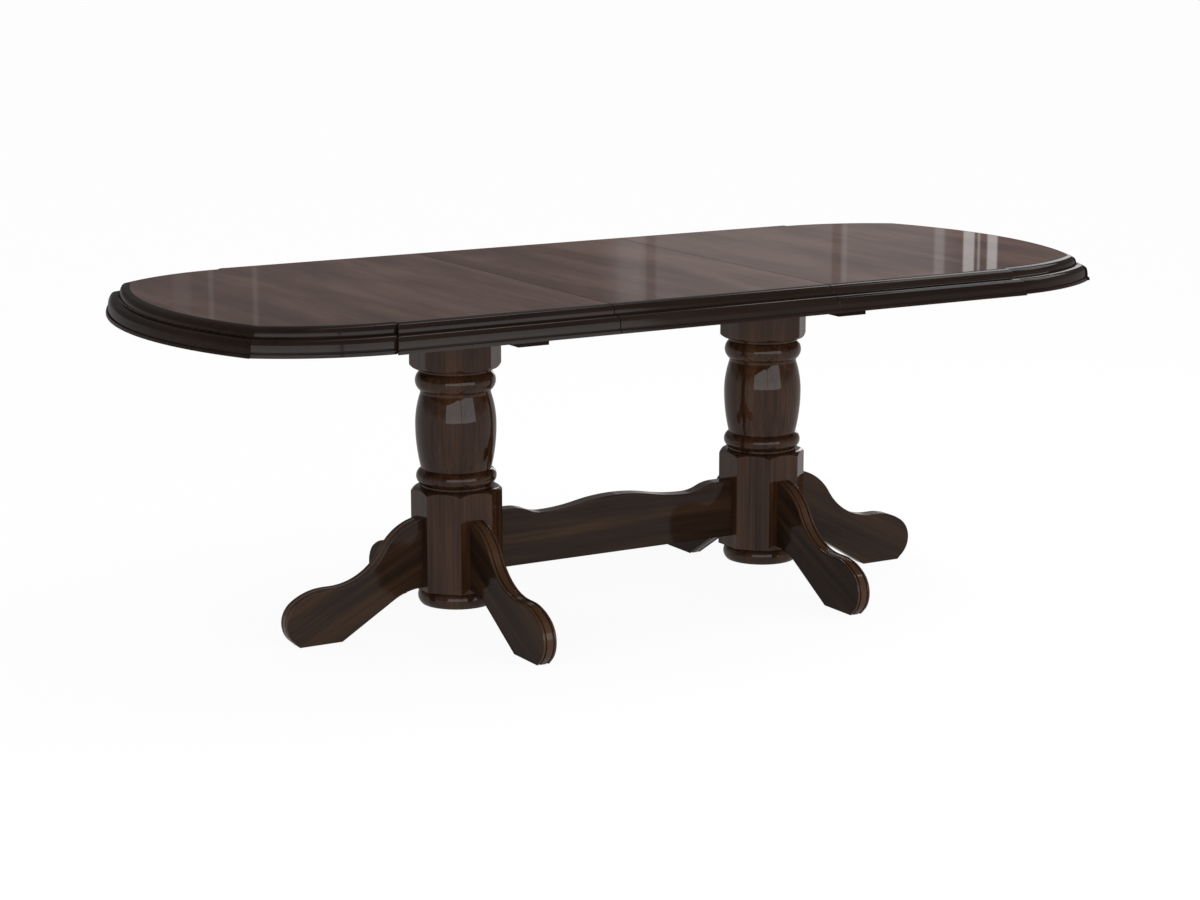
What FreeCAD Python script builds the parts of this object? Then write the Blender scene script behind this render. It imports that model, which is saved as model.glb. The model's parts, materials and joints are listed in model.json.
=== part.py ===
import FreeCAD, Part
import math
import operator
import os
import types

import Sketcher

# Extending dining table: two turned pedestals joined by a stretcher carry a top of two
# sliding halves and one drop-in leaf. Millimetres, +X along the table, +Z up, origin on
# the floor at the middle of the table. The front is -Y.

SIZES = {
    # Table top, measured to the edge of the flat veneered board
    "table_height": 760,
    "panel_thickness": 22,
    "leaf_length": 540,
    "seam_gap": 1,
    "flat_half_width": 438,
    "side_length": 481,
    "corner_setback": 12,
    "corner_run": 254,
    "corner_turn_in": 87,
    "end_bow": 76,
    "mitre_angle": 48,
    # Edge moulding, from the board outwards and downwards
    "crown_radius": 37.5,
    "crown_angle": 20,
    "shoulder_round": 13,
    "face_angle": 14,
    "bead_face_radius": 23,
    "quirk": 3,
    "ovolo_face_radius": 58,
    "ovolo_fall": 3.5,
    "lip_step": 4.5,
    "lip_height": 7,
    "lip_round": 1.2,
    "joint_angle": 64,
    "joint_arris": 3,
    "seam_arris": 1.5,
    "mitre_reach": 80,
    # Slides under the top
    "rail_height": 38,
    "rail_width": 44,
    "rail_offset": 240,
    "rail_length": 1280,
    "groove_depth": 12,
    "groove_height": 12,
    "slide_clearance": 0.4,
    "runner_width": 36,
    "runner_height": 32,
    "runner_end_margin": 46,
    "runner_setback": 14,
    "stop_setback": 4,
    "stop_thickness": 28,
    "stop_width": 120,
    "stop_height": 58,
    "batten_width": 50,
    "batten_height": 24,
    "batten_spacing": 300,
    # Pedestals
    "pedestal_inset": 129,
    "bearer_length": 704,
    "bearer_width": 72,
    "bearer_height": 30,
    "block_across": 185,
    "column_foot": 51,
    "foot_ring_height": 33,
    "foot_ring_radius": 87,
    "foot_neck_radius": 80,
    "foot_neck_height": 4,
    "block_height": 209,
    "shoulder_height": 15,
    "shoulder_radius": 24,
    "neck_radius": 79,
    "neck_height": 5,
    "lower_ring_height": 35,
    "upper_ring_height": 43,
    "ring_radius": 88,
    "fillet_height": 6,
    "barrel_end_radius": 77,
    "barrel_radius": 88.5,
    "barrel_lower_length": 96,
    "barrel_upper_length": 70,
    # Legs, seen from the side, from the column's axis outwards
    "leg_thickness": 33,
    "leg_bead_width": 16,
    "leg_quirk_width": 2,
    "leg_quirk_depth": 3,
    "leg_edge_round": 3,
    "leg_reed_round": 2.2,
    "leg_below_shoulder": 46.6,
    "knee_centre": 73.7,
    "knee_radius": 126.5,
    "instep_run": 16,
    "instep_above_toe": 13.5,
    "toe_crown_run": 43,
    "toe_reach": 417,
    "toe_radius": 54.5,
    "toe_bevel_angle": 47.5,
    "toe_bevel_height": 12,
    "foot_flat": 75.5,
    "arch_height": 95.5,
    "arch_radius": 134,
    # Stretcher
    "stretcher_thickness": 36,
    "stretcher_below_dowel": 22.5,
    "stretcher_above_dowel": 28.5,
    "stretcher_crest_rise": 1.5,
    "stretcher_dip": 19,
    "stretcher_dip_place": 188,
    "stretcher_shoulder_run": 80,
    "stretcher_edge_round": 2.5,
    # Fixings
    "fit_clearance": 0.1,
    "dowel_radius": 6,
    "dowel_depth": 35,
    "dowel_above_arch": 44,
    "dowel_below_knee": 32,
    "bolt_radius": 4,
    "bolt_head_radius": 8,
    "bolt_head_height": 6,
    "bolt_length": 84,
    "bolt_spacing": 100,
    "screw_radius": 2.25,
    "screw_head_radius": 4.5,
    "screw_head_height": 3,
    "screw_grip": 12,
    "screw_end_margin": 45,
    "stop_screw_spacing": 70,
    "batten_screw_spacing": 160,
}


class Size:
    """A number together with the spreadsheet expression that gives it."""

    def __init__(self, value, text):
        self.value = value
        self.text = text

    def __add__(self, other):
        return joined(self, "+", operator.add, other)

    def __radd__(self, other):
        return joined(other, "+", operator.add, self)

    def __sub__(self, other):
        return joined(self, "-", operator.sub, other)

    def __rsub__(self, other):
        return joined(other, "-", operator.sub, self)

    def __mul__(self, other):
        return joined(self, "*", operator.mul, other)

    def __rmul__(self, other):
        return joined(other, "*", operator.mul, self)

    def __truediv__(self, other):
        return joined(self, "/", operator.truediv, other)

    def __neg__(self):
        return Size(-self.value, "(0 - %s)" % self.text)


def as_size(amount):
    if isinstance(amount, Size):
        return amount
    return Size(amount, "(%s)" % amount)


def joined(first, sign, work, second):
    first = as_size(first)
    second = as_size(second)
    text = "(%s %s %s)" % (first.text, sign, second.text)
    return Size(work(first.value, second.value), text)


def root(amount):
    return Size(math.sqrt(amount.value), "sqrt(%s)" % amount.text)


def cosine(angle):
    return Size(math.cos(math.radians(angle.value)), "cos(%s)" % angle.text)


def sine(angle):
    return Size(math.sin(math.radians(angle.value)), "sin(%s)" % angle.text)


def arcsine(ratio):
    return Size(math.degrees(math.asin(ratio.value)), "asin(%s)" % ratio.text)


def arc_radius(run, sagitta):
    """Radius of an arc that leaves along `run` and has drifted `sagitta` sideways at its end."""
    return (run * run + sagitta * sagitta) / (2 * sagitta)


doc = FreeCAD.newDocument("extending_table")
sheet = doc.addObject("Spreadsheet::Sheet", "sizes")
for row, (size_name, size_value) in enumerate(SIZES.items(), start=1):
    sheet.set("A%d" % row, size_name)
    sheet.set("B%d" % row, str(size_value))
    sheet.setAlias("B%d" % row, size_name)
doc.recompute()

s = types.SimpleNamespace()
for size_name, size_value in SIZES.items():
    setattr(s, size_name, Size(size_value, "sizes." + size_name))

# Levels and places that several pieces share
panel_bottom = s.table_height - s.panel_thickness
bearer_top = panel_bottom - s.rail_height
column_top = bearer_top - s.bearer_height
pedestal_x = s.leaf_length / 2 + s.pedestal_inset
block_face = s.block_across / 2
seam_x = (s.leaf_length + s.seam_gap) / 2
leaf_half = (s.leaf_length - s.seam_gap) / 2
side_end = seam_x + s.side_length
corner_y = s.flat_half_width - s.corner_setback
corner_radius = arc_radius(s.corner_run, s.corner_turn_in)
mitre_x = side_end + s.corner_run
mitre_y = corner_y - s.corner_turn_in
end_radius = arc_radius(mitre_y, s.end_bow)
end_centre = mitre_x + s.end_bow - end_radius
block_bottom = s.column_foot + s.foot_ring_height + s.foot_neck_height
block_top = block_bottom + s.block_height
stretcher_end = pedestal_x - block_face
rail_face = s.rail_offset + s.rail_width / 2
runner_inner_y = rail_face + s.slide_clearance
runner_y = runner_inner_y + s.runner_width / 2
runner_start = seam_x + s.runner_setback
runner_end = mitre_x - s.runner_end_margin
groove_z = bearer_top + s.rail_height / 2
knee_top = block_top - s.leg_below_shoulder
leg_dowel_heights = (s.arch_height + s.dowel_above_arch, knee_top - s.dowel_below_knee)

# Curved mouldings are turned past their mitres by this share and then sawn
mitre_allowance = 1.1

LEFT_TURN = 1
RIGHT_TURN = -1
NODES = []


def node(piece):
    NODES.append(piece)
    return piece


def bind(owner, prop, amount):
    owner.setExpression(prop, as_size(amount).text)


def place(piece, x=0, y=0, z=0):
    for axis, amount in zip("xyz", (x, y, z)):
        bind(piece, "Placement.Base." + axis, amount)


def new_body(label, x=0, y=0, z=0, turn=0):
    """A body whose origin is at x, y, z, turned by whole degrees about the upright."""
    body = doc.addObject("PartDesign::Body", label)
    body.Placement.Rotation = FreeCAD.Rotation(FreeCAD.Vector(0, 0, 1), turn)
    place(body, x, y, z)
    return body


def new_sketch(body, role, lift=0):
    """A sketch on one of the body's origin planes, lifted along the plane's normal."""
    plane = [part for part in body.Origin.OriginFeatures if part.Role == role][0]
    sketch = body.newObject("Sketcher::SketchObject", body.Name + "_sketch")
    sketch.AttachmentSupport = [(plane, "")]
    sketch.MapMode = "FlatFace"
    bind(sketch, "AttachmentOffset.Base.z", lift)
    return sketch


def constrain(sketch, rules):
    """Add dimensions, each (kind, geometry and point numbers, size), and bind them."""
    made = [Sketcher.Constraint(kind, *picks, amount.value) for kind, picks, amount in rules]
    for index, rule in zip(sketch.addConstraint(made), rules):
        sketch.setExpression("Constraints[%d]" % index, rule[2].text)


def arc_between(start, end, radius, turn):
    """The short arc from start to end, and whether it is stored from end to start."""
    across = end - start
    offset = math.sqrt(max(radius ** 2 - (across.Length / 2) ** 2, 0))
    sideways = FreeCAD.Vector(-across.y, across.x, 0).normalize()
    centre = (start + end) / 2 + sideways * offset * turn
    first, last = (start, end) if turn == LEFT_TURN else (end, start)
    angles = [math.atan2(point.y - centre.y, point.x - centre.x) for point in (first, last)]
    if angles[1] < angles[0]:
        angles[1] += 2 * math.pi
    circle = Part.Circle(centre, FreeCAD.Vector(0, 0, 1), radius)
    return Part.ArcOfCircle(circle, *angles)


def outline(sketch, corners):
    """Close a loop through corners (x, y). A corner (x, y, radius, turn) starts an arc."""
    corners = [[as_size(amount) for amount in corner[:3]] + list(corner[3:]) for corner in corners]
    points = [FreeCAD.Vector(corner[0].value, corner[1].value, 0) for corner in corners]
    sides = []
    rules = []
    for index, corner in enumerate(corners):
        start = points[index]
        end = points[(index + 1) % len(points)]
        head = 1
        if len(corner) == 2:
            side = sketch.addGeometry(Part.LineSegment(start, end), False)
        else:
            arc = arc_between(start, end, corner[2].value, corner[3])
            side = sketch.addGeometry(arc, False)
            head = 1 if corner[3] == LEFT_TURN else 2
            rules.append(("Radius", (side,), corner[2]))
        sides.append((side, head, 3 - head))
        rules.append(("DistanceX", (-1, 1, side, head), corner[0]))
        rules.append(("DistanceY", (-1, 1, side, head), corner[1]))
    meetings = []
    for (side, _, tail), (following, head, _) in zip(sides, sides[1:] + sides[:1]):
        meetings.append(Sketcher.Constraint("Coincident", side, tail, following, head))
    sketch.addConstraint(meetings)
    constrain(sketch, rules)


def rectangle(sketch, left, right, low, high):
    outline(sketch, [(left, low), (right, low), (right, high), (left, high)])


def circle(sketch, x, y, radius):
    x, y, radius = as_size(x), as_size(y), as_size(radius)
    middle = FreeCAD.Vector(x.value, y.value, 0)
    ring = sketch.addGeometry(Part.Circle(middle, FreeCAD.Vector(0, 0, 1), radius.value), False)
    constrain(sketch, [
        ("Radius", (ring,), radius),
        ("DistanceX", (-1, 1, ring, 3), x),
        ("DistanceY", (-1, 1, ring, 3), y),
    ])


def pad(body, sketch, length, both_ways=False):
    feature = body.newObject("PartDesign::Pad", body.Name + "_pad")
    feature.Profile = sketch
    feature.SideType = "Symmetric" if both_ways else "One side"
    bind(feature, "Length", length)
    doc.recompute()
    return feature


def check_cut(body, feature, volume_before):
    """A cut that points away from the wood removes nothing, so its volume is compared."""
    doc.recompute()
    if not feature.Shape.Volume < volume_before - 1:
        raise RuntimeError("%s: %s removes nothing" % (body.Label, feature.Name))


def pocket(body, sketch, depth, along_normal=False, both_ways=False):
    volume_before = body.Shape.Volume
    feature = body.newObject("PartDesign::Pocket", body.Name + "_pocket")
    feature.Profile = sketch
    feature.SideType = "Symmetric" if both_ways else "One side"
    feature.Reversed = along_normal
    bind(feature, "Length", depth)
    check_cut(body, feature, volume_before)
    return feature


def revolve(body, sketch, angle, both_ways=False):
    feature = body.newObject("PartDesign::Revolution", body.Name + "_turning")
    feature.Profile = sketch
    feature.ReferenceAxis = (sketch, ["V_Axis"])
    feature.Midplane = both_ways
    bind(feature, "Angle", angle)
    doc.recompute()
    return feature


def groove(body, sketch):
    volume_before = body.Shape.Volume
    feature = body.newObject("PartDesign::Groove", body.Name + "_turning")
    feature.Profile = sketch
    feature.ReferenceAxis = (sketch, ["V_Axis"])
    feature.Angle = 360
    check_cut(body, feature, volume_before)


def round_edges(body, kind, size_property, amount, wanted):
    """Fillet or chamfer the edges of the body that `wanted` picks."""
    base = body.Tip
    names = []
    for index, edge in enumerate(base.Shape.Edges, start=1):
        if wanted(edge):
            names.append("Edge%d" % index)
    feature = body.newObject("PartDesign::" + kind, body.Name + "_edges")
    feature.Base = (base, names)
    bind(feature, size_property, amount)
    doc.recompute()


def mirrored(label, source, normal):
    copy = doc.addObject("Part::Mirroring", label)
    copy.Source = source
    copy.Normal = FreeCAD.Vector(*normal)
    return copy


def to_back(label, source):
    return mirrored(label, source, (0, 1, 0))


def to_left(label, source):
    return mirrored(label, source, (1, 0, 0))


def group(label, pieces):
    bundle = doc.addObject("Part::Compound", label)
    bundle.Links = pieces
    return bundle


def upright_rod(name, x, y, z, radius, height):
    rod = doc.addObject("Part::Cylinder", name)
    bind(rod, "Radius", radius)
    bind(rod, "Height", height)
    place(rod, x, y, z)
    return rod


def screw(name, x, y, seat_z):
    """A screw driven upwards: its head is under seat_z and its shank grips as much on each side."""
    head_z = seat_z - s.screw_head_height
    head = upright_rod(name + "_head", x, y, head_z, s.screw_head_radius, s.screw_head_height)
    shank = upright_rod(name + "_shank", x, y, seat_z, s.screw_radius, 2 * s.screw_grip)
    whole = doc.addObject("Part::Fuse", name)
    whole.Base = head
    whole.Tool = shank
    return whole


def bolt(name, x, y, head_z):
    """A coach bolt driven downwards: the top of its head is at head_z."""
    head_low = head_z - s.bolt_head_height
    head = upright_rod(name + "_head", x, y, head_low, s.bolt_head_radius, s.bolt_head_height)
    shank_z = head_z - s.bolt_length
    shank = upright_rod(name + "_shank", x, y, shank_z, s.bolt_radius, head_low - shank_z)
    whole = doc.addObject("Part::Fuse", name)
    whole.Base = head
    whole.Tool = shank
    return whole


def dowel(name, x, y, z, along_x):
    """A level dowel whose middle is at x, y, z."""
    rod = doc.addObject("Part::Cylinder", name)
    turning_axis = FreeCAD.Vector(0, 1, 0) if along_x else FreeCAD.Vector(-1, 0, 0)
    rod.Placement.Rotation = FreeCAD.Rotation(turning_axis, 90)
    bind(rod, "Radius", s.dowel_radius)
    bind(rod, "Height", 2 * s.dowel_depth)
    if along_x:
        place(rod, x - s.dowel_depth, y, z)
    else:
        place(rod, x, y - s.dowel_depth, z)
    return rod


def screw_holes(body, places, seat_z, recess, depth):
    """Counterbored holes for screws driven upwards into the underside at seat_z."""
    bores = new_sketch(body, "XY_Plane", seat_z)
    seats = new_sketch(body, "XY_Plane", seat_z)
    for x, y in places:
        circle(bores, x, y, s.screw_radius + s.fit_clearance)
        circle(seats, x, y, s.screw_head_radius + s.fit_clearance)
    pocket(body, bores, depth, along_normal=True)
    pocket(body, seats, recess, along_normal=True)


def pilot_holes(body, places, face_z, depth):
    """Blind holes upwards from an underside, for the points of screws."""
    bores = new_sketch(body, "XY_Plane", face_z)
    for x, y in places:
        circle(bores, x, y, s.screw_radius + s.fit_clearance)
    pocket(body, bores, depth + s.fit_clearance, along_normal=True)


def recess_for(thickness):
    """How deep a screw's head lies so that its shank grips `screw_grip` of the piece."""
    return thickness - s.screw_grip


# Places of the fixings in the right half and in the leaf
runner_screw_x = (
    runner_start + s.screw_end_margin,
    (runner_start + runner_end) / 2,
    runner_end - s.screw_end_margin,
)
stop_outer = seam_x + s.stop_setback + s.stop_thickness
stop_screw_x = stop_outer - s.stop_thickness / 2
stop_places = [(stop_screw_x, s.stop_screw_spacing / -2), (stop_screw_x, s.stop_screw_spacing / 2)]
front_runner_places = [(x, -runner_y) for x in runner_screw_x]
back_runner_places = [(x, runner_y) for x in runner_screw_x]
batten_x = s.batten_spacing / 2
batten_places = [(batten_x, step * s.batten_screw_spacing) for step in (-1, 0, 1)]


def thumb_round(out, z, face_radius, turn):
    """Corners of a rounded step that starts level at out, z and ends upright: a flat crown, a
    tight shoulder and a tall face. The last item is the place where it ends."""
    crown = (cosine(s.crown_angle), sine(s.crown_angle))
    face = (sine(s.face_angle), cosine(s.face_angle))
    shoulder_out = out + s.crown_radius * crown[1]
    shoulder_z = z - s.crown_radius * (1 - crown[0])
    face_out = shoulder_out + s.shoulder_round * (face[1] - crown[1])
    face_z = shoulder_z - s.shoulder_round * (crown[0] - face[0])
    corners = [
        (out, z, s.crown_radius, turn),
        (shoulder_out, shoulder_z, s.shoulder_round, turn),
        (face_out, face_z, face_radius, turn),
    ]
    end_out = face_out + face_radius * (1 - face[1])
    return corners, (end_out, face_z - face_radius * face[0])


def moulding_section(sketch, inner, outward):
    """The edge moulding cut across: a bead, a quirk, an ovolo and a lip below the top."""
    turn = RIGHT_TURN * outward
    bead, (bead_out, bead_z) = thumb_round(as_size(0), as_size(0), s.bead_face_radius, turn)
    ovolo_start = (bead_out + s.quirk, bead_z - s.quirk)
    ovolo, (ovolo_out, fall_z) = thumb_round(*ovolo_start, s.ovolo_face_radius, turn)
    lip_top = fall_z - s.ovolo_fall
    lip_out = ovolo_out + s.lip_step
    lip_low = lip_top - s.lip_height
    corners = bead + [(bead_out, bead_z, s.quirk, -turn)] + ovolo + [
        (ovolo_out, fall_z),
        (ovolo_out, lip_top),
        (lip_out - s.lip_round, lip_top, arc_radius(s.lip_height, s.lip_round), turn),
        (lip_out, lip_low),
        (as_size(0), lip_low),
    ]
    outline(sketch, [((inner + corner[0]) * outward, *corner[1:]) for corner in corners])


def saw_waste(sketch, x, y, angle, side, keep_end):
    """The wood past a saw cut through x, y: beyond it, or before it where the end is kept."""
    along = (cosine(angle), sine(angle) * side)
    beyond = -1 if keep_end else 1
    across = (sine(angle) * beyond, cosine(angle) * -side * beyond)
    inside = s.mitre_reach / -4
    corners = []
    for step_along, step_across in ((inside, 0), (s.mitre_reach, 0), (s.mitre_reach, 1), (inside, 1)):
        swing = s.mitre_reach * step_across
        corner_x = x + along[0] * step_along + across[0] * swing
        corners.append((corner_x, y + along[1] * step_along + across[1] * swing))
    outline(sketch, corners)


def saw(body, x, y, angle, side, keep_end):
    waste = new_sketch(body, "XY_Plane")
    saw_waste(waste, x, y, angle, side, keep_end)
    pocket(body, waste, 4 * s.mitre_reach, both_ways=True)


def side_moulding(label, start_x, length):
    body = new_body(label, start_x, -s.flat_half_width, s.table_height)
    section = new_sketch(body, "YZ_Plane")
    moulding_section(section, as_size(0), -1)
    pad(body, section, length)
    return body


def soften_end(body, x, y, angle, radius):
    """Round the outer edges of the end that lies in the upright plane through x, y at an angle."""
    across = (sine(angle).value, cosine(angle).value)
    low = body.Shape.BoundBox.ZMin - s.table_height.value

    def on_end(edge):
        ends = [vertex.Point for vertex in edge.Vertexes]
        past_cut = [(end.x - x.value) * across[0] + (end.y - y.value) * across[1] for end in ends]
        in_cut = max(abs(distance) for distance in past_cut) < 0.01
        outside = min(end.y for end in ends) < y.value - 0.01
        return in_cut and outside and max(end.z for end in ends) > low + 0.01

    round_edges(body, "Fillet", "Radius", radius, on_end)


def half_side_moulding(label):
    body = side_moulding(label, seam_x, s.side_length + s.mitre_reach / 2)
    saw(body, s.side_length, as_size(0), s.joint_angle, -1, keep_end=False)
    soften_end(body, s.side_length, as_size(0), s.joint_angle, s.joint_arris)
    soften_end(body, as_size(0), as_size(0), as_size(90), s.seam_arris)
    return body


def corner_moulding(label):
    centre_y = corner_radius - corner_y
    body = new_body(label, side_end, centre_y, s.table_height)
    section = new_sketch(body, "YZ_Plane")
    moulding_section(section, corner_radius, -1)
    revolve(body, section, mitre_allowance * arcsine(s.corner_run / corner_radius))
    saw(body, as_size(0), -s.flat_half_width - centre_y, s.joint_angle, -1, keep_end=True)
    saw(body, s.corner_run, -mitre_y - centre_y, s.mitre_angle, -1, keep_end=False)
    flat_end = -s.corner_setback * cosine(s.joint_angle) / sine(s.joint_angle)
    soften_end(body, flat_end, -corner_y - centre_y, s.joint_angle, s.joint_arris)
    return body


def end_moulding(label):
    body = new_body(label, end_centre, 0, s.table_height)
    section = new_sketch(body, "XZ_Plane")
    moulding_section(section, end_radius, 1)
    revolve(body, section, 2 * mitre_allowance * arcsine(mitre_y / end_radius), both_ways=True)
    for side in (-1, 1):
        saw(body, mitre_x - end_centre, mitre_y * side, s.mitre_angle, side, keep_end=True)
    return body


def half_panel(label):
    body = new_body(label)
    board = new_sketch(body, "XY_Plane", panel_bottom)
    outline(board, [
        (seam_x, -s.flat_half_width),
        (side_end, -s.flat_half_width),
        (side_end, -corner_y, corner_radius, LEFT_TURN),
        (mitre_x, -mitre_y, end_radius, LEFT_TURN),
        (mitre_x, mitre_y, corner_radius, LEFT_TURN),
        (side_end, corner_y),
        (side_end, s.flat_half_width),
        (seam_x, s.flat_half_width),
    ])
    pad(body, board, s.panel_thickness)
    pilot_holes(body, front_runner_places + back_runner_places + stop_places, panel_bottom, s.screw_grip)
    return body


def runner(label):
    """The front runner: a batten under the half with a tongue in the guide rail's groove."""
    body = new_body(label)
    section = new_sketch(body, "YZ_Plane", runner_start)
    tongue_half = s.groove_height / 2 - s.slide_clearance
    tongue_tip = runner_inner_y - s.groove_depth
    low = panel_bottom - s.runner_height
    outer_y = runner_inner_y + s.runner_width
    outline(section, [
        (-outer_y, low),
        (-runner_inner_y, low),
        (-runner_inner_y, groove_z - tongue_half),
        (-tongue_tip, groove_z - tongue_half),
        (-tongue_tip, groove_z + tongue_half),
        (-runner_inner_y, groove_z + tongue_half),
        (-runner_inner_y, panel_bottom),
        (-outer_y, panel_bottom),
    ])
    pad(body, section, runner_end - runner_start)
    screw_holes(body, front_runner_places, low, recess_for(s.runner_height), s.runner_height)
    return body


def stop_block(label):
    """A block under the half that meets the bearer when the half is pulled right out."""
    body = new_body(label)
    block = new_sketch(body, "XY_Plane", panel_bottom - s.stop_height)
    rectangle(block, stop_outer - s.stop_thickness, stop_outer, s.stop_width / -2, s.stop_width / 2)
    pad(body, block, s.stop_height)
    low = panel_bottom - s.stop_height
    screw_holes(body, stop_places, low, recess_for(s.stop_height), s.stop_height)
    return body


def half_screws(label):
    seat_z = panel_bottom - s.screw_grip
    pieces = []
    for index, (x, y) in enumerate(front_runner_places + back_runner_places + stop_places):
        pieces.append(screw("%s_%d" % (label, index), x, y, seat_z))
    return group(label, pieces)


def make_halves():
    right = {
        "panel": half_panel("right_panel"),
        "end_moulding": end_moulding("right_end_moulding"),
        "front_corner_moulding": corner_moulding("right_front_corner_moulding"),
        "front_side_moulding": half_side_moulding("right_front_side_moulding"),
        "front_runner": runner("right_front_runner"),
        "stop_block": stop_block("right_stop_block"),
        "half_screws": half_screws("right_half_screws"),
    }
    for piece in ("corner_moulding", "side_moulding", "runner"):
        right["back_" + piece] = to_back("right_back_" + piece, right["front_" + piece])
    for piece, made in right.items():
        node(made)
        node(to_left("left_" + piece, made))


def leaf_panel(label):
    body = new_body(label)
    board = new_sketch(body, "XY_Plane", panel_bottom)
    rectangle(board, -leaf_half, leaf_half, -s.flat_half_width, s.flat_half_width)
    pad(body, board, s.panel_thickness)
    both_battens = batten_places + [(-x, y) for x, y in batten_places]
    pilot_holes(body, both_battens, panel_bottom, s.screw_grip)
    return body


def leaf_batten(label):
    body = new_body(label)
    low = panel_bottom - s.batten_height
    strip = new_sketch(body, "XY_Plane", low)
    end_y = s.rail_offset - s.rail_width / 2 - s.slide_clearance
    rectangle(strip, batten_x - s.batten_width / 2, batten_x + s.batten_width / 2, -end_y, end_y)
    pad(body, strip, s.batten_height)
    screw_holes(body, batten_places, low, recess_for(s.batten_height), s.batten_height)
    return body


def make_leaf():
    node(leaf_panel("leaf_panel"))
    front = node(side_moulding("leaf_front_moulding", -leaf_half, 2 * leaf_half))
    node(to_back("leaf_back_moulding", front))
    right_batten = node(leaf_batten("leaf_right_batten"))
    node(to_left("leaf_left_batten", right_batten))
    seat_z = panel_bottom - s.screw_grip
    pieces = []
    for index, (x, y) in enumerate(batten_places + [(-x, y) for x, y in batten_places]):
        pieces.append(screw("leaf_screw_%d" % index, x, y, seat_z))
    node(group("leaf_screws", pieces))


def column_turning(sketch):
    """What the lathe takes off the octagonal blank between the block and the cap."""
    clear = s.block_across
    neck_low = block_top + s.shoulder_height
    ring_low = neck_low + s.neck_height
    ring_high = ring_low + s.lower_ring_height
    barrel_low = ring_high
    barrel_middle = barrel_low + s.barrel_lower_length
    barrel_high = barrel_middle + s.barrel_upper_length
    upper_ring_low = barrel_high + s.fillet_height
    upper_ring_high = upper_ring_low + s.upper_ring_height
    cap_shoulder = upper_ring_high + s.neck_height
    cap_low = cap_shoulder + s.shoulder_height
    shoulder_out = s.neck_radius + s.shoulder_radius
    ring_bulge = s.ring_radius - s.barrel_end_radius
    barrel_bulge = s.barrel_radius - s.barrel_end_radius
    outline(sketch, [
        (clear, block_top),
        (shoulder_out, block_top, s.shoulder_radius, LEFT_TURN),
        (s.neck_radius, neck_low),
        (s.neck_radius, ring_low),
        (s.barrel_end_radius, ring_low, arc_radius(s.lower_ring_height / 2, ring_bulge), LEFT_TURN),
        (s.barrel_end_radius, barrel_low, arc_radius(s.barrel_lower_length, barrel_bulge), LEFT_TURN),
        (s.barrel_radius, barrel_middle, arc_radius(s.barrel_upper_length, barrel_bulge), LEFT_TURN),
        (s.barrel_end_radius, barrel_high),
        (s.barrel_end_radius, upper_ring_low, arc_radius(s.upper_ring_height / 2, ring_bulge), LEFT_TURN),
        (s.barrel_end_radius, upper_ring_high),
        (s.neck_radius, upper_ring_high),
        (s.neck_radius, cap_shoulder, s.shoulder_radius, LEFT_TURN),
        (shoulder_out, cap_low),
        (clear, cap_low),
    ])


def foot_turning(sketch):
    """What the lathe takes off below the block, leaving a rounded ring off the floor."""
    clear = s.block_across
    ring_top = s.column_foot + s.foot_ring_height
    bulge = s.foot_ring_radius - s.foot_neck_radius
    outline(sketch, [
        (clear, s.column_foot),
        (clear, block_bottom),
        (s.foot_neck_radius, block_bottom),
        (s.foot_neck_radius, ring_top, arc_radius(s.foot_ring_height / 2, bulge), RIGHT_TURN),
        (s.foot_neck_radius, s.column_foot),
    ])


def column(label, side):
    body = new_body(label, pedestal_x * side)
    blank = new_sketch(body, "XY_Plane", s.column_foot)
    corner = block_face * Size(math.tan(math.pi / 8), "tan(22.5)")
    flat = block_face
    outline(blank, [
        (flat, -corner), (flat, corner), (corner, flat), (-corner, flat),
        (-flat, corner), (-flat, -corner), (-corner, -flat), (corner, -flat),
    ])
    pad(body, blank, column_top - s.column_foot)
    for turning in (column_turning, foot_turning):
        cut = new_sketch(body, "XZ_Plane")
        turning(cut)
        groove(body, cut)
    sockets = new_sketch(body, "XZ_Plane", block_face - s.dowel_depth - s.fit_clearance)
    for height in leg_dowel_heights:
        circle(sockets, 0, height, s.dowel_radius + s.fit_clearance)
    first = pocket(body, sockets, s.dowel_depth + s.fit_clearance, along_normal=True)
    around = body.newObject("PartDesign::PolarPattern", label + "_sockets")
    around.Originals = [first]
    upright = [part for part in body.Origin.OriginFeatures if part.Role == "Z_Axis"][0]
    around.Axis = (upright, [""])
    around.Angle = 360
    around.Occurrences = 4
    body.Tip = around
    check_cut(body, around, first.Shape.Volume)
    bolt_depth = s.bolt_length - s.bearer_height + recess_for_bolt() + s.fit_clearance
    bores = new_sketch(body, "XY_Plane", column_top)
    for y in (s.bolt_spacing / -2, s.bolt_spacing / 2):
        circle(bores, 0, y, s.bolt_radius + s.fit_clearance)
    pocket(body, bores, bolt_depth)
    return body


def recess_for_bolt():
    return 1.5 * s.bolt_head_height


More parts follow.
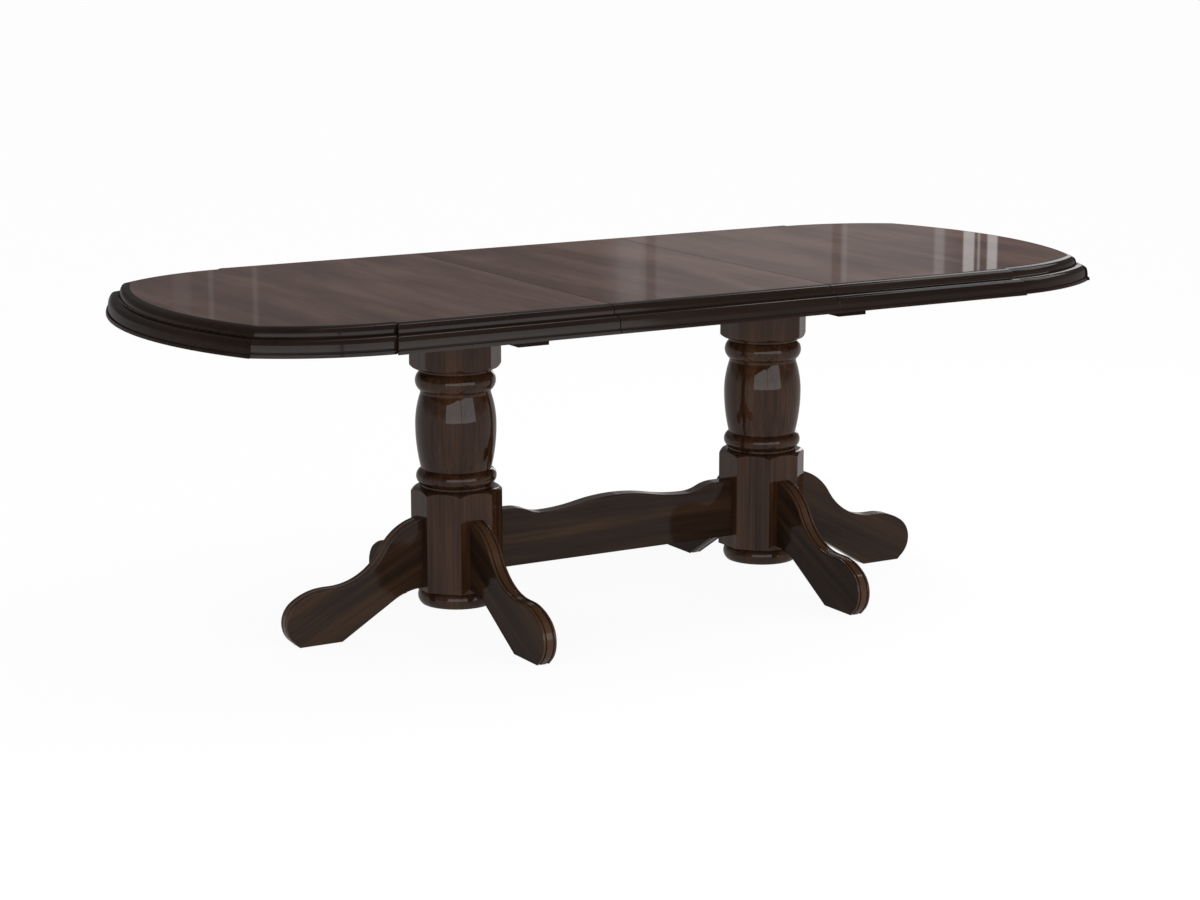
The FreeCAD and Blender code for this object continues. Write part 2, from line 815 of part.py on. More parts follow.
def leg_outline(sketch, inset):
    """The leg from the side: knee, instep, toe, bevelled foot and arch, drawn in by inset."""
    reach_in = block_face - s.knee_centre
    knee_centre_z = knee_top - root(s.knee_radius * s.knee_radius - reach_in * reach_in)
    knee = s.knee_radius - inset
    knee_start_z = knee_centre_z + root(knee * knee - reach_in * reach_in)
    toe_x = s.toe_reach - s.toe_radius
    toe_z = s.toe_bevel_height + s.toe_radius * sine(s.toe_bevel_angle)
    crown_x = toe_x - s.toe_crown_run
    instep_x = crown_x - s.instep_run
    instep_over_toe = s.toe_radius + s.instep_above_toe
    instep_top = toe_z + instep_over_toe
    run = instep_x - s.knee_centre
    rise = instep_top - knee_centre_z
    bend_span = run * run + rise * rise - s.knee_radius * s.knee_radius
    instep_radius = bend_span / (2 * (s.knee_radius - rise))
    share = knee / (s.knee_radius + instep_radius)
    bend_x = s.knee_centre + run * share
    bend_z = knee_centre_z + (rise + instep_radius) * share
    instep_z = instep_top - inset
    crown_span = s.toe_crown_run * s.toe_crown_run + instep_over_toe * instep_over_toe
    crown_radius = (crown_span - s.toe_radius * s.toe_radius) / (2 * s.instep_above_toe)
    crown_z = instep_top - crown_radius
    crown = crown_radius - inset
    crown_share = crown / (crown_radius - s.toe_radius)
    toe_start_x = crown_x + s.toe_crown_run * crown_share
    toe_start_z = crown_z + (toe_z - crown_z) * crown_share
    toe = s.toe_radius - inset
    toe_end_x = toe_x + toe * cosine(s.toe_bevel_angle)
    toe_end_z = toe_z - toe * sine(s.toe_bevel_angle)
    slope = sine(s.toe_bevel_angle) / cosine(s.toe_bevel_angle)
    bevel_x = toe_end_x - (toe_end_z - inset) * slope
    heel_run = toe_x - s.foot_flat - block_face
    heel_drop = s.arch_radius - s.arch_height
    heel_far = heel_run * heel_run + heel_drop * heel_drop
    tangent = root(heel_far - s.arch_radius * s.arch_radius)
    normal_x = (s.arch_radius * heel_run - tangent * heel_drop) / heel_far
    normal_z = (s.arch_radius * heel_drop + tangent * heel_run) / heel_far
    arch = s.arch_radius + inset
    arch_end_x = block_face + arch * normal_x
    arch_end_z = arch * normal_z - heel_drop
    heel_x = arch_end_x + (arch_end_z - inset) * normal_z / normal_x
    outline(sketch, [
        (block_face, knee_start_z, knee, RIGHT_TURN),
        (bend_x, bend_z, instep_radius + inset, LEFT_TURN),
        (instep_x, instep_z),
        (crown_x, instep_z, crown, RIGHT_TURN),
        (toe_start_x, toe_start_z, toe, RIGHT_TURN),
        (toe_end_x, toe_end_z),
        (bevel_x, inset),
        (heel_x, inset),
        (arch_end_x, arch_end_z, arch, LEFT_TURN),
        (block_face, s.arch_height + inset),
    ])


def leg(label, x, turn):
    body = new_body(label, x, turn=turn)
    board = new_sketch(body, "XZ_Plane")
    leg_outline(board, as_size(0))
    pad(body, board, s.leg_thickness, both_ways=True)
    half = s.leg_thickness.value / 2
    joint_x = block_face.value

    def on_side(edge):
        box = edge.BoundBox
        return min(abs(box.YMin), abs(box.YMax)) > half - 0.01 and box.XMax > joint_x + 1

    round_edges(body, "Fillet", "Radius", s.leg_edge_round, on_side)
    for side in (-1, 1):
        slot_edge = s.leg_bead_width / 2 if side > 0 else s.leg_bead_width / -2
        quirk = new_sketch(body, "XZ_Plane", slot_edge)
        leg_outline(quirk, s.leg_quirk_depth)
        rectangle(quirk, 0, 2 * s.toe_reach, -s.toe_reach, 2 * knee_top)
        pocket(body, quirk, s.leg_quirk_width, along_normal=side > 0)
    bead_edge = s.leg_bead_width.value / 2
    reed_edge = bead_edge + s.leg_quirk_width.value

    def on_reed(edge):
        box = edge.BoundBox
        middle = edge.valueAt((edge.FirstParameter + edge.LastParameter) / 2)
        beside_quirk = min(abs(abs(middle.y) - bead_edge), abs(abs(middle.y) - reed_edge)) < 0.01
        on_outline = board.Shape.distToShape(Part.Vertex(middle.x, 0, middle.z))[0] < 0.01
        return box.YLength < 0.01 and beside_quirk and on_outline and box.XMax > joint_x + 1

    round_edges(body, "Fillet", "Radius", s.leg_reed_round, on_reed)
    sockets = new_sketch(body, "YZ_Plane", block_face)
    for height in leg_dowel_heights:
        circle(sockets, 0, height, s.dowel_radius + s.fit_clearance)
    pocket(body, sockets, s.dowel_depth + s.fit_clearance, along_normal=True)
    return body


def stretcher(label):
    body = new_body(label)
    board = new_sketch(body, "XZ_Plane")
    low_z = leg_dowel_heights[0] - s.stretcher_below_dowel
    shoulder_z = leg_dowel_heights[1] + s.stretcher_above_dowel
    crest_z = shoulder_z + s.stretcher_crest_rise
    dip_z = crest_z - s.stretcher_dip
    shoulder_rise = shoulder_z - dip_z
    shoulder_x = s.stretcher_dip_place + s.stretcher_shoulder_run
    wave = arc_radius(s.stretcher_dip_place / 2, s.stretcher_dip / 2)
    scroll = arc_radius(s.stretcher_shoulder_run / 2, shoulder_rise / 2)
    wave_x = s.stretcher_dip_place / 2
    wave_z = dip_z + s.stretcher_dip / 2
    scroll_x = s.stretcher_dip_place + s.stretcher_shoulder_run / 2
    scroll_z = dip_z + shoulder_rise / 2
    outline(board, [
        (stretcher_end, low_z),
        (stretcher_end, shoulder_z),
        (shoulder_x, shoulder_z, scroll, LEFT_TURN),
        (scroll_x, scroll_z, scroll, RIGHT_TURN),
        (s.stretcher_dip_place, dip_z, wave, RIGHT_TURN),
        (wave_x, wave_z, wave, LEFT_TURN),
        (0, crest_z, wave, LEFT_TURN),
        (-wave_x, wave_z, wave, RIGHT_TURN),
        (-s.stretcher_dip_place, dip_z, scroll, RIGHT_TURN),
        (-scroll_x, scroll_z, scroll, LEFT_TURN),
        (-shoulder_x, shoulder_z),
        (-stretcher_end, shoulder_z),
        (-stretcher_end, low_z),
    ])
    pad(body, board, s.stretcher_thickness, both_ways=True)
    half = s.stretcher_thickness.value / 2
    low = low_z.value

    def on_top(edge):
        box = edge.BoundBox
        return min(abs(box.YMin), abs(box.YMax)) > half - 0.01 and box.ZMin > low + 1

    round_edges(body, "Fillet", "Radius", s.stretcher_edge_round, on_top)
    for side in (-1, 1):
        sockets = new_sketch(body, "YZ_Plane", stretcher_end * side)
        for height in leg_dowel_heights:
            circle(sockets, 0, height, s.dowel_radius + s.fit_clearance)
        pocket(body, sockets, s.dowel_depth + s.fit_clearance, along_normal=side < 0)
    return body


def bearer(label, side):
    body = new_body(label, pedestal_x * side)
    beam = new_sketch(body, "XY_Plane", column_top)
    rectangle(beam, s.bearer_width / -2, s.bearer_width / 2, s.bearer_length / -2, s.bearer_length / 2)
    pad(body, beam, s.bearer_height)
    bolt_bores = new_sketch(body, "XY_Plane", bearer_top)
    bolt_seats = new_sketch(body, "XY_Plane", bearer_top)
    for y in (s.bolt_spacing / -2, s.bolt_spacing / 2):
        circle(bolt_bores, 0, y, s.bolt_radius + s.fit_clearance)
        circle(bolt_seats, 0, y, s.bolt_head_radius + s.fit_clearance)
    pocket(body, bolt_bores, s.bearer_height)
    pocket(body, bolt_seats, recess_for_bolt())
    rail_places = [(0, -s.rail_offset), (0, s.rail_offset)]
    screw_holes(body, rail_places, column_top, recess_for(s.bearer_height), s.bearer_height)
    return body


def guide_rail(label):
    """The front rail, grooved on its outer side for the runners' tongues."""
    body = new_body(label)
    section = new_sketch(body, "YZ_Plane", s.rail_length / -2)
    outer_y = rail_face
    inner_y = rail_face - s.rail_width
    groove_y = rail_face - s.groove_depth
    outline(section, [
        (-outer_y, bearer_top),
        (-inner_y, bearer_top),
        (-inner_y, panel_bottom),
        (-outer_y, panel_bottom),
        (-outer_y, groove_z + s.groove_height / 2),
        (-groove_y, groove_z + s.groove_height / 2),
        (-groove_y, groove_z - s.groove_height / 2),
        (-outer_y, groove_z - s.groove_height / 2),
    ])
    pad(body, section, s.rail_length)
    rail_places = [(-pedestal_x, -s.rail_offset), (pedestal_x, -s.rail_offset)]
    pilot_holes(body, rail_places, bearer_top, s.screw_grip)
    return body


def make_base():
    for name, side in (("left", -1), ("right", 1)):
        axis_x = pedestal_x * side
        node(column(name + "_column", side))
        node(bearer(name + "_bearer", side))
        node(leg(name + "_outer_leg", axis_x, 90 - 90 * side))
        node(leg(name + "_front_leg", axis_x, -90))
        node(leg(name + "_back_leg", axis_x, 90))
    node(stretcher("stretcher"))
    front_rail = node(guide_rail("front_guide_rail"))
    node(to_back("back_guide_rail", front_rail))


def make_fixings():
    leg_dowels = []
    stretcher_dowels = []
    bolts = []
    rail_screws = []
    bolt_top = bearer_top - recess_for_bolt() + s.bolt_head_height
    rail_screw_z = bearer_top - s.screw_grip
    for name, side in (("left", -1), ("right", 1)):
        axis_x = pedestal_x * side
        for index, height in enumerate(leg_dowel_heights):
            label = "%s_dowel_%d" % (name, index)
            leg_dowels.append(dowel(label + "_outer", axis_x + block_face * side, as_size(0), height, True))
            leg_dowels.append(dowel(label + "_front", axis_x, -block_face, height, False))
            leg_dowels.append(dowel(label + "_back", axis_x, block_face, height, False))
            stretcher_dowels.append(dowel(label + "_inner", stretcher_end * side, as_size(0), height, True))
        for end in (-1, 1):
            label = "%s_%s" % (name, "front" if end < 0 else "back")
            bolts.append(bolt(label + "_bolt", axis_x, s.bolt_spacing / 2 * end, bolt_top))
            rail_screws.append(screw(label + "_rail_screw", axis_x, s.rail_offset * end, rail_screw_z))
    node(group("leg_dowels", leg_dowels))
    node(group("stretcher_dowels", stretcher_dowels))
    node(group("bearer_bolts", bolts))
    node(group("rail_screws", rail_screws))


def check_and_export():
    doc.recompute()
    for item in doc.Objects:
        if "Invalid" in item.State or "Error" in item.State:
            raise RuntimeError("%s did not compute: %s" % (item.Label, item.State))
    for piece in NODES:
        if piece.Shape.isNull() or not piece.Shape.isValid() or not piece.Shape.Solids:
            raise RuntimeError("%s has no valid solid" % piece.Label)
    os.makedirs("parts", exist_ok=True)
    for piece in NODES:
        piece.Shape.exportStep(os.path.join("parts", piece.Label + ".step"))
        print("%-30s %d solids, %.0f cm3" % (piece.Label, len(piece.Shape.Solids), piece.Shape.Volume / 1000))


make_base()
make_halves()
make_leaf()
make_fixings()
check_and_export()
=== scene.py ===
import json
import math

import bpy
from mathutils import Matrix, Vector


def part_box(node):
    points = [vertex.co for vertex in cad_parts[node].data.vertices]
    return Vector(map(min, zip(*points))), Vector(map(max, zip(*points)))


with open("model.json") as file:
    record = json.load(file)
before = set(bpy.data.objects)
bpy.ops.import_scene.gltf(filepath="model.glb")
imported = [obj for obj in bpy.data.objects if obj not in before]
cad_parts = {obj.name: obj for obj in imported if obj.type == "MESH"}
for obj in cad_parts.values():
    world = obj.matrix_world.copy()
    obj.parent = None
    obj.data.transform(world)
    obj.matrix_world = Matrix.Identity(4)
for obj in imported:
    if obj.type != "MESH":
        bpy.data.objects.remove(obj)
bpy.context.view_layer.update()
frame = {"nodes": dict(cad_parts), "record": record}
nodes = frame["nodes"]
PEDESTAL_X = sum(corner.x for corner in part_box("right_column")) / 2
SEAM_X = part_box("right_panel")[0].x


class Shade:
    """A socket of a material's node tree that Python's operators work on."""

    def __init__(self, tree, socket=None):
        self.tree = tree
        self.socket = socket

    def node(self, kind, settings=None, inputs=None, output=0):
        """Add a node, set it up, feed its sockets and give one of its outputs."""
        made = self.tree.nodes.new(kind)
        for setting, value in (settings or {}).items():
            if setting == "stops":
                set_stops(made.color_ramp, value)
            else:
                setattr(made, setting, value)
        for name, value in (inputs or {}).items():
            if isinstance(value, Shade):
                self.tree.links.new(value.socket, made.inputs[name])
            else:
                made.inputs[name].default_value = value
        return Shade(self.tree, made.outputs[output] if made.outputs else None)

    def maths(self, operation, first, second=0):
        return self.node("ShaderNodeMath", {"operation": operation}, {0: first, 1: second})

    def __add__(self, other):
        return self.maths("ADD", self, other)

    __radd__ = __add__

    def __sub__(self, other):
        return self.maths("SUBTRACT", self, other)

    def __rsub__(self, other):
        return self.maths("SUBTRACT", other, self)

    def __mul__(self, other):
        return self.maths("MULTIPLY", self, other)

    __rmul__ = __mul__

    def __abs__(self):
        return self.maths("ABSOLUTE", self)


def set_stops(ramp, stops):
    while len(ramp.elements) < len(stops):
        ramp.elements.new(1)
    for element, (place, colour) in zip(ramp.elements, stops):
        element.position = place
        element.color = (*colour, 1)


def new_tree(owner):
    """An empty node tree for a material or the world."""
    owner.use_nodes = True
    owner.node_tree.nodes.clear()
    return Shade(owner.node_tree)


def coordinates(shade, kind="Object"):
    return shade.node("ShaderNodeTexCoord", output=kind)


def one_axis(shade, vector, axis):
    return shade.node("ShaderNodeSeparateXYZ", inputs={"Vector": vector}, output=axis)


def fade(shade, value, start, end, first, last, curve="LINEAR"):
    """From first to last while a value goes from start to end, and level beyond them."""
    return shade.node("ShaderNodeMapRange", {"interpolation_type": curve}, {
        "Value": value, "From Min": start, "From Max": end, "To Min": first, "To Max": last,
    })


def ramp(shade, share, stops):
    return shade.node("ShaderNodeValToRGB", {"stops": stops}, {"Fac": share})


# Sockets of a Mix node that belong to colours, which share their names with others
MIX_SHARE, MIX_FIRST, MIX_SECOND, MIX_RESULT = 0, 6, 7, 2


def blend(shade, share, first, second):
    """One colour laid over another by a share."""
    return shade.node("ShaderNodeMix", {"data_type": "RGBA"}, {
        MIX_SHARE: share, MIX_FIRST: first, MIX_SECOND: second,
    }, output=MIX_RESULT)


def painted(name, make_surface):
    """A material whose surface is made in its own node tree."""
    material = bpy.data.materials.new(name)
    shade = new_tree(material)
    shade.node("ShaderNodeOutputMaterial", inputs={"Surface": make_surface(shade)})
    return material


# Grain and figure

# Streaks to a metre, across the fine grain and along it
FINE_COUNT = 170
FINE_LENGTH = 3.0
BROAD_LENGTH = FINE_LENGTH * 0.6
# Broad streaks to a metre across the grain, and the share of fine ones in the tone
TOP_GRAIN = (9, 0.22)
EDGE_GRAIN = (22, 0.3)
COLUMN_GRAIN = (22, 0.45)
LEG_GRAIN = (26, 0.3)
# Streaks to a metre, across and along, and the noise's detail
FINE_GRAIN = (FINE_COUNT, FINE_LENGTH, 4.0)
FLECK_GRAIN = (FINE_COUNT * 1.5, 24, 1.0)
DOWEL_GRAIN = (FINE_COUNT * 4, FINE_LENGTH * 4, 4.0)
ZINC_CLOUDS = (300, 300, 3.0)
TURNING_MARKS = (200, 3000, 2.0)
BROAD_DETAIL = 2.0
STREAK_ROUGHNESS = 0.6
STREAK_WANDER = 0.3
# How far a seed moves the noise along each axis
SEED_STEPS = (1, 0.7, 1.3)
# The noise at which a fleck starts and is whole, and how much lighter it is
FLECK_FADE = (0.56, 0.75)
FLECK_LIFT = 0.1
# How far down a leg's grain runs, and how far apart the grain of opposite legs is taken
LEG_SLOPE = math.radians(27)
LEG_APART = 2
TOP_REACH = 1.2
# Where the dark line of a seam starts to fade and ends, from the seam
SEAM_FADE = (0.0007, 0.0012)
# How squarely a face looks along its axis where a worked edge begins and a side is reached
EDGE_TURN = (0.3, 0.9)


def down_the_leg(shade, outward):
    """Coordinates turned so that one runs down a leg, out from its pedestal, each leg with its
    own grain."""
    place = coordinates(shade)
    part = {axis: one_axis(shade, place, axis) for axis in "XYZ"}
    sideways = "Y" if outward == "X" else "X"
    reach = abs(part[outward])
    along, across = math.cos(LEG_SLOPE), math.sin(LEG_SLOPE)
    return shade.node("ShaderNodeCombineXYZ", inputs={
        outward: reach * along - part["Z"] * across,
        sideways: part[sideways] + shade.maths("SIGN", part[outward]) * LEG_APART,
        "Z": reach * across + part["Z"] * along,
    })


def streaks(shade, along, grain, seed, place=None):
    """Noise stretched along one axis, with so many streaks to a metre across and along it."""
    across_count, along_count, detail = grain
    counts = [along_count if axis == along else across_count for axis in "XYZ"]
    place = shade.node("ShaderNodeMapping", inputs={
        "Vector": place or coordinates(shade),
        "Location": [seed * step for step in SEED_STEPS],
        "Scale": counts,
    })
    return shade.node("ShaderNodeTexNoise", inputs={
        "Vector": place, "Scale": 1.0, "Detail": detail,
        "Roughness": STREAK_ROUGHNESS, "Distortion": STREAK_WANDER,
    })


def sheet_tone(shade, sheets):
    """How much lighter the veneer is from one end of the table to the other, from stops of x
    and tone."""
    share = one_axis(shade, coordinates(shade), "X") * (0.5 / TOP_REACH) + 0.5
    greys = [(0.5 + 0.5 * x / TOP_REACH, (0.5 + tone,) * 3) for x, tone in sheets]
    return ramp(shade, share, greys) - 0.5


def flecks(shade, along, seed):
    """Short pale flecks between the pores of figured veneer."""
    return fade(shade, streaks(shade, along, FLECK_GRAIN, seed), *FLECK_FADE, 0.0, FLECK_LIFT)


def seam_line(shade):
    """1 along the thin dark line where a half meets the leaf."""
    from_middle = abs(one_axis(shade, coordinates(shade), "X"))
    return fade(shade, abs(from_middle - SEAM_X), *SEAM_FADE, 1.0, 0.0)


# The mask for the painted light on the reeded edges of the legs and the stretcher
def worked_edges(shade, through):
    """1 on the reeded edges of a board, 0 on its two sides, which face along one axis."""
    facing = one_axis(shade, coordinates(shade, "Normal"), through)
    return fade(shade, abs(facing), *EDGE_TURN, 1.0, 0.0)


# Finishes

# Dark, middle and light stain, and where they lie in the grain's tone
STAIN_PLACES = (0.36, 0.5, 0.64)
TOP_STAIN = ((0.044, 0.023, 0.018), (0.064, 0.034, 0.026), (0.090, 0.051, 0.040))
LEAF_STAIN = ((0.044, 0.021, 0.015), (0.066, 0.034, 0.025), (0.094, 0.053, 0.041))
EDGE_STAIN = ((0.006, 0.0035, 0.0025), (0.010, 0.0055, 0.004), (0.014, 0.008, 0.0055))
COLUMN_STAIN = ((0.012, 0.005, 0.003), (0.027, 0.0115, 0.0055), (0.047, 0.021, 0.010))
LEG_STAIN = ((0.010, 0.0055, 0.0035), (0.018, 0.0095, 0.006), (0.032, 0.016, 0.008))
DOWEL_STAIN = ((0.36, 0.22, 0.12), (0.45, 0.30, 0.17), (0.54, 0.38, 0.23))
# Painted light: the reeded edges of the legs and the stretcher are painted lighter, where the top
# shades them and the windows catch them, and they get more lacquer gloss
EDGE_LIGHT_PAINT = (0.054, 0.026, 0.014, 1)
EDGE_LIGHT_SHARE = 0.7
EDGE_GLOSS = 0.2
SEAM_STAIN = (0.010, 0.006, 0.005, 1)
ZINC_TONES = (
    (0.3, (0.48, 0.48, 0.49)), (0.5, (0.55, 0.55, 0.56)), (0.7, (0.62, 0.62, 0.62)),
)
# Stops of x, along the table, and how much lighter the veneer is there
HALF_SHEETS = (
    (-1.1, -0.08), (-0.7, -0.03), (-0.4, 0.02), (-0.28, 0.08),
    (0.28, 0.05), (0.6, 0.02), (1.1, -0.02),
)
LEAF_SHEETS = ((-0.27, -0.12), (-0.1, -0.06), (0.12, -0.03), (0.19, 0.05), (0.27, 0.04))
# Weight and roughness of the lacquer
TOP_LACQUER = (0.25, 0.02)
SIDE_LACQUER = (0.21, 0.08)
END_LACQUER = (0.16, 0.08)
COLUMN_LACQUER = (0.37, 0.02)
OUTER_LEG_LACQUER = (0.26, 0.08)
CROSS_LEG_LACQUER = (0.14, 0.08)
STRETCHER_LACQUER = (0.24, 0.06)
FRAME_LACQUER = (0.05, 0.3)
LACQUER_IOR = 1.5
# Strength and depth of open pores
LACQUERED_PORES = (0.15, 0.0004)
BARE_PORES = (0.4, 0.0003)
# Roughness of the wood between its streaks, and how much of it a full streak takes away
STAINED_ROUGHNESS = (0.6, 0.25)
BARE_ROUGHNESS = (0.85, 0.2)
# Roughness of zinc, and how much its clouds and its turning marks add
ZINC_ROUGHNESS = 0.15
CLOUD_ROUGHNESS = 0.2
MARK_ROUGHNESS = 0.15


def stained(shade, tone, stain):
    return ramp(shade, tone, list(zip(STAIN_PLACES, stain)))


def open_pores(shade, fine, pores):
    strength, depth = pores
    return shade.node(
        "ShaderNodeBump", inputs={"Strength": strength, "Distance": depth, "Height": fine})


def grain_roughness(fine, roughness):
    between, taken = roughness
    return between - fine * taken


def lacquered_wood(name, along, stain, grain, lacquer, seed, sheets=None, through=None, leg=False):
    """Dark stained wood under lacquer, with faint open pores and its grain along one axis, or
    down a leg. A top has sheets of veneer with dark seams. The worked edges of a board whose
    sides face through an axis are painted lighter, a painted light where the top shades them,
    and get more lacquer gloss."""
    broad_count, fine_share = grain

    def surface(shade):
        gloss, lacquer_roughness = lacquer
        place = down_the_leg(shade, along) if leg else None
        broad_grain = (broad_count, BROAD_LENGTH, BROAD_DETAIL)
        fine = streaks(shade, along, FINE_GRAIN, seed, place)
        broad = streaks(shade, along, broad_grain, seed + 5, place)
        tone = fine * fine_share + broad * (1 - fine_share)
        if sheets:
            tone = tone + sheet_tone(shade, sheets) + flecks(shade, along, seed + 3)
        colour = stained(shade, tone, stain)
        if through:
            # Painted light: the reeded edges are painted lighter, where the top shades them
            painted_edge_mask = worked_edges(shade, through)
            colour = blend(shade, painted_edge_mask * EDGE_LIGHT_SHARE, colour, EDGE_LIGHT_PAINT)
            gloss = painted_edge_mask * EDGE_GLOSS + gloss
        if sheets:
            seam = seam_line(shade)
            colour = blend(shade, seam, colour, SEAM_STAIN)
            gloss = (1 - seam) * gloss
        return shade.node("ShaderNodeBsdfPrincipled", inputs={
            "Base Color": colour,
            "Roughness": grain_roughness(fine, STAINED_ROUGHNESS),
            "Specular IOR Level": 0.0,
            "Normal": open_pores(shade, fine, LACQUERED_PORES),
            "Coat Weight": gloss,
            "Coat Roughness": lacquer_roughness,
            "Coat IOR": LACQUER_IOR,
        })

    return painted(name, surface)


def bare_wood(name, along, stain, seed):
    """Pale, unfinished wood with a dry, open grain."""
    def surface(shade):
        fine = streaks(shade, along, DOWEL_GRAIN, seed)
        return shade.node("ShaderNodeBsdfPrincipled", inputs={
            "Base Color": stained(shade, fine, stain),
            "Roughness": grain_roughness(fine, BARE_ROUGHNESS),
            "Normal": open_pores(shade, fine, BARE_PORES),
        })

    return painted(name, surface)


def zinc_steel(name, seed):
    """Bright zinc on steel, cloudy, with fine marks from turning."""
    def surface(shade):
        clouds = streaks(shade, "Z", ZINC_CLOUDS, seed)
        marks = streaks(shade, "Z", TURNING_MARKS, seed + 1)
        return shade.node("ShaderNodeBsdfPrincipled", inputs={
            "Base Color": ramp(shade, clouds, ZINC_TONES),
            "Metallic": 1.0,
            "Roughness": clouds * CLOUD_ROUGHNESS + marks * MARK_ROUGHNESS + ZINC_ROUGHNESS,
        })

    return painted(name, surface)


def nodes_with(slot):
    return [part["node"] for part in frame["record"]["subparts"] if part["material_slot"] == slot]


def give(material, names):
    for name in names:
        slots = nodes[name].data.materials
        slots.clear()
        slots.append(material)


def dress_top():
    give(lacquered_wood("half_veneer", "Y", TOP_STAIN, TOP_GRAIN, TOP_LACQUER, 1.0,
                        sheets=HALF_SHEETS),
         ["left_panel", "right_panel"])
    give(lacquered_wood("leaf_veneer", "Y", LEAF_STAIN, TOP_GRAIN, TOP_LACQUER, 9.0,
                        sheets=LEAF_SHEETS),
         ["leaf_panel"])
    mouldings = nodes_with("edge_moulding")
    give(lacquered_wood("edge_along_table", "X", EDGE_STAIN, EDGE_GRAIN, SIDE_LACQUER, 2.0),
         [name for name in mouldings if "end" not in name])
    give(lacquered_wood("edge_across_table", "Y", EDGE_STAIN, EDGE_GRAIN, END_LACQUER, 3.0),
         [name for name in mouldings if "end" in name])


def dress_pedestals():
    give(lacquered_wood("column_wood", "Z", COLUMN_STAIN, COLUMN_GRAIN, COLUMN_LACQUER, 4.0),
         nodes_with("column_wood"))
    legs = nodes_with("leg_wood")
    give(lacquered_wood("leg_along_table", "X", LEG_STAIN, LEG_GRAIN, OUTER_LEG_LACQUER, 5.0,
                        through="Y", leg=True),
         [name for name in legs if "outer" in name])
    give(lacquered_wood("leg_across_table", "Y", LEG_STAIN, LEG_GRAIN, CROSS_LEG_LACQUER, 6.0,
                        through="X", leg=True),
         [name for name in legs if "outer" not in name])
    give(lacquered_wood("stretcher_wood", "X", LEG_STAIN, LEG_GRAIN, STRETCHER_LACQUER, 7.0,
                        through="Y"),
         nodes_with("stretcher_wood"))


def dress_frame():
    give(lacquered_wood("frame_wood", "X", EDGE_STAIN, EDGE_GRAIN, FRAME_LACQUER, 8.0),
         nodes_with("frame_wood"))
    give(bare_wood("dowel_wood", "X", DOWEL_STAIN, 10.0), nodes_with("dowel_wood"))
    give(zinc_steel("fixing_steel", 11.0), nodes_with("fixing_steel"))


# Floor, light and camera

WHITE = (1, 1, 1, 1)
FLOOR_SIZE = 80
FLOOR_PAINT = (0.92, 0.92, 0.92, 1)
FLOOR_GLOW = 0.93
DAYLIGHT = 0.85
# The background is dimmer overhead: from this height of the view upwards, by this share
OVERHEAD_HEIGHT = 0.12
OVERHEAD_SHARE = 0.38
WINDOW_TINT = (0.93, 0.97, 1.0)
# Name, bearing from the left pedestal in degrees, and width of each front pane
FRONT_PANES = (("front_left_pane", -123.6, 4.84), ("front_right_pane", -80.0, 4.47))
FRONT_DISTANCE = 6.0
FRONT_MIDDLE = 1.65
FRONT_HEIGHT = 2.9
FRONT_RADIANCE = 3.5
SIDE_PLACE = (2.2, -0.4, 2.2)
SIDE_AIM = (0.6, 0.0, 0.76)
SIDE_WIDTH = 1.3
SIDE_RADIANCE = 6.0
# Bearing, half width and soft edge in degrees, and brightness; a post takes brightness away
ROOM = (
    (56.0, 2.9, 1.0, 0.36),
    (59.1, 0.15, 0.2, 0.12),
    (58.66, 0.05, 0.10, -0.25),
    (54.89, 0.06, 0.06, -0.30),
    (54.72, 0.02, 0.05, 0.25),
    (52.81, 0.06, 0.08, 0.6),
    (52.22, 0.09, 0.04, 2.0),
    (52.02, 0.01, 0.03, 1.2),
    (51.75, 0.08, 0.04, 2.0),
    (44.50, 3.00, 2.00, 6.0),
    (68.20, 0.10, 0.15, 0.1),
    (67.61, 0.02, 0.06, 0.2),
    (66.72, 0.02, 0.06, 0.2),
)
# The bearing is counted from +X and the drop from level, in degrees; the lens is in millimetres
CAMERA_PLACE = (-3.1706, -5.3643, 1.6402)
CAMERA_BEARING = 59.70
CAMERA_DROP = 11.72
CAMERA_LENS = 84.8
CAMERA_SENSOR = 36


def background_rays(shade):
    """1 where the camera looks at the background, and 1 where lacquer or metal mirrors it."""
    seen = shade.node("ShaderNodeLightPath", output="Is Camera Ray")
    mirrored = shade.node("ShaderNodeLightPath", output="Is Glossy Ray")
    through = shade.node("ShaderNodeLightPath", output="Is Transmission Ray")
    return seen, mirrored + through


def floor_surface(shade):
    """Pale paint that looks almost white to the camera and in the lacquer."""
    seen, mirrored = background_rays(shade)
    paint = shade.node("ShaderNodeBsdfDiffuse", inputs={"Color": FLOOR_PAINT})
    white = shade.node("ShaderNodeEmission", inputs={"Color": WHITE, "Strength": 1.0})
    glow = (seen + mirrored) * FLOOR_GLOW
    return shade.node("ShaderNodeMixShader", inputs={0: glow, 1: paint, 2: white})


def pale_floor():
    bpy.ops.object.select_all(action="DESELECT")
    bpy.ops.mesh.primitive_plane_add(size=FLOOR_SIZE, location=(0, 0, 0))
    floor = bpy.context.active_object
    floor.name = "floor"
    floor.data.materials.append(painted("pale_floor", floor_surface))


def room(shade, outward):
    """How bright the room behind the table is where the top mirrors it: a pale wall, window
    panes and the posts between them."""
    north, east = (one_axis(shade, outward, axis) for axis in "YX")
    bearing = shade.maths("ARCTAN2", north, east) * math.degrees(1)
    brightness = 0
    for middle, half_width, edge, strength in ROOM:
        aside = abs(bearing - middle)
        brightness = brightness + fade(
            shade, aside, half_width, half_width + edge, strength, 0.0, "SMOOTHSTEP")
    return brightness


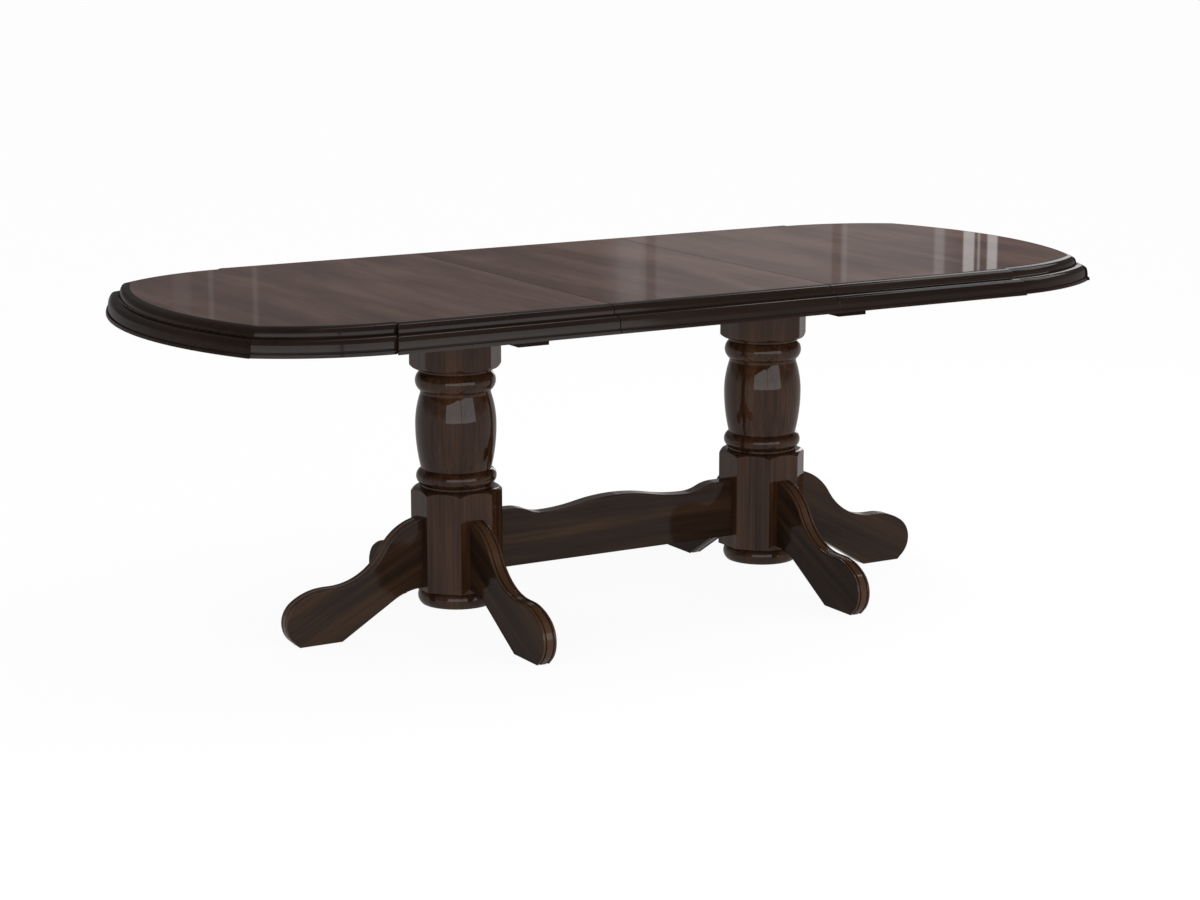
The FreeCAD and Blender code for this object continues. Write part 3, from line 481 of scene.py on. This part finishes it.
def studio_world():
    """White behind the table, dimmer overhead where the lacquer mirrors it."""
    world = bpy.data.worlds.new("studio")
    bpy.context.scene.world = world
    shade = new_tree(world)
    seen, mirrored = background_rays(shade)
    outward = coordinates(shade, "Generated")
    dimming = fade(shade, one_axis(shade, outward, "Z"), 0.0, OVERHEAD_HEIGHT, 1.0, OVERHEAD_SHARE)
    reflected = mirrored * (dimming + room(shade, outward))
    strength = seen + reflected + (1 - seen - mirrored) * DAYLIGHT
    sky = shade.node("ShaderNodeBackground", inputs={"Color": WHITE, "Strength": strength})
    shade.node("ShaderNodeOutputWorld", inputs={"Surface": sky})


def place_in_scene(name, data, place):
    holder = bpy.data.objects.new(name, data)
    bpy.context.scene.collection.objects.link(holder)
    holder.location = place
    return holder


def window(name, place, aim, width, height, radiance):
    """A soft window: a lamp of a real size, seen in the lacquer."""
    lamp = bpy.data.lights.new(name, "AREA")
    lamp.shape = "RECTANGLE"
    lamp.size = width
    lamp.size_y = height
    lamp.energy = radiance * math.pi * width * height
    lamp.color = WINDOW_TINT
    holder = place_in_scene(name, lamp, place)
    holder.rotation_euler = (Vector(aim) - Vector(place)).to_track_quat("-Z", "Y").to_euler()
    holder.visible_camera = False


def windows():
    """Two tall panes with a thin post between them on the camera's side, and a soft pane past
    the right end, which lights that end of the top."""
    aim = (-PEDESTAL_X, 0, FRONT_MIDDLE)
    for name, bearing, width in FRONT_PANES:
        turn = math.radians(bearing)
        place = (
            FRONT_DISTANCE * math.cos(turn) - PEDESTAL_X,
            FRONT_DISTANCE * math.sin(turn),
            FRONT_MIDDLE,
        )
        window(name, place, aim, width, FRONT_HEIGHT, FRONT_RADIANCE)
    window("side_pane", SIDE_PLACE, SIDE_AIM, SIDE_WIDTH, SIDE_WIDTH, SIDE_RADIANCE)


def viewing_camera():
    camera = bpy.data.cameras.new("camera")
    camera.sensor_width = CAMERA_SENSOR
    camera.lens = CAMERA_LENS
    holder = place_in_scene("camera", camera, CAMERA_PLACE)
    holder.rotation_euler = (
        math.radians(90 - CAMERA_DROP), 0, math.radians(CAMERA_BEARING - 90))
    bpy.context.scene.camera = holder


dress_top()
dress_pedestals()
dress_frame()
pale_floor()
studio_world()
windows()
viewing_camera()
bpy.context.scene.view_settings.view_transform = "Standard"
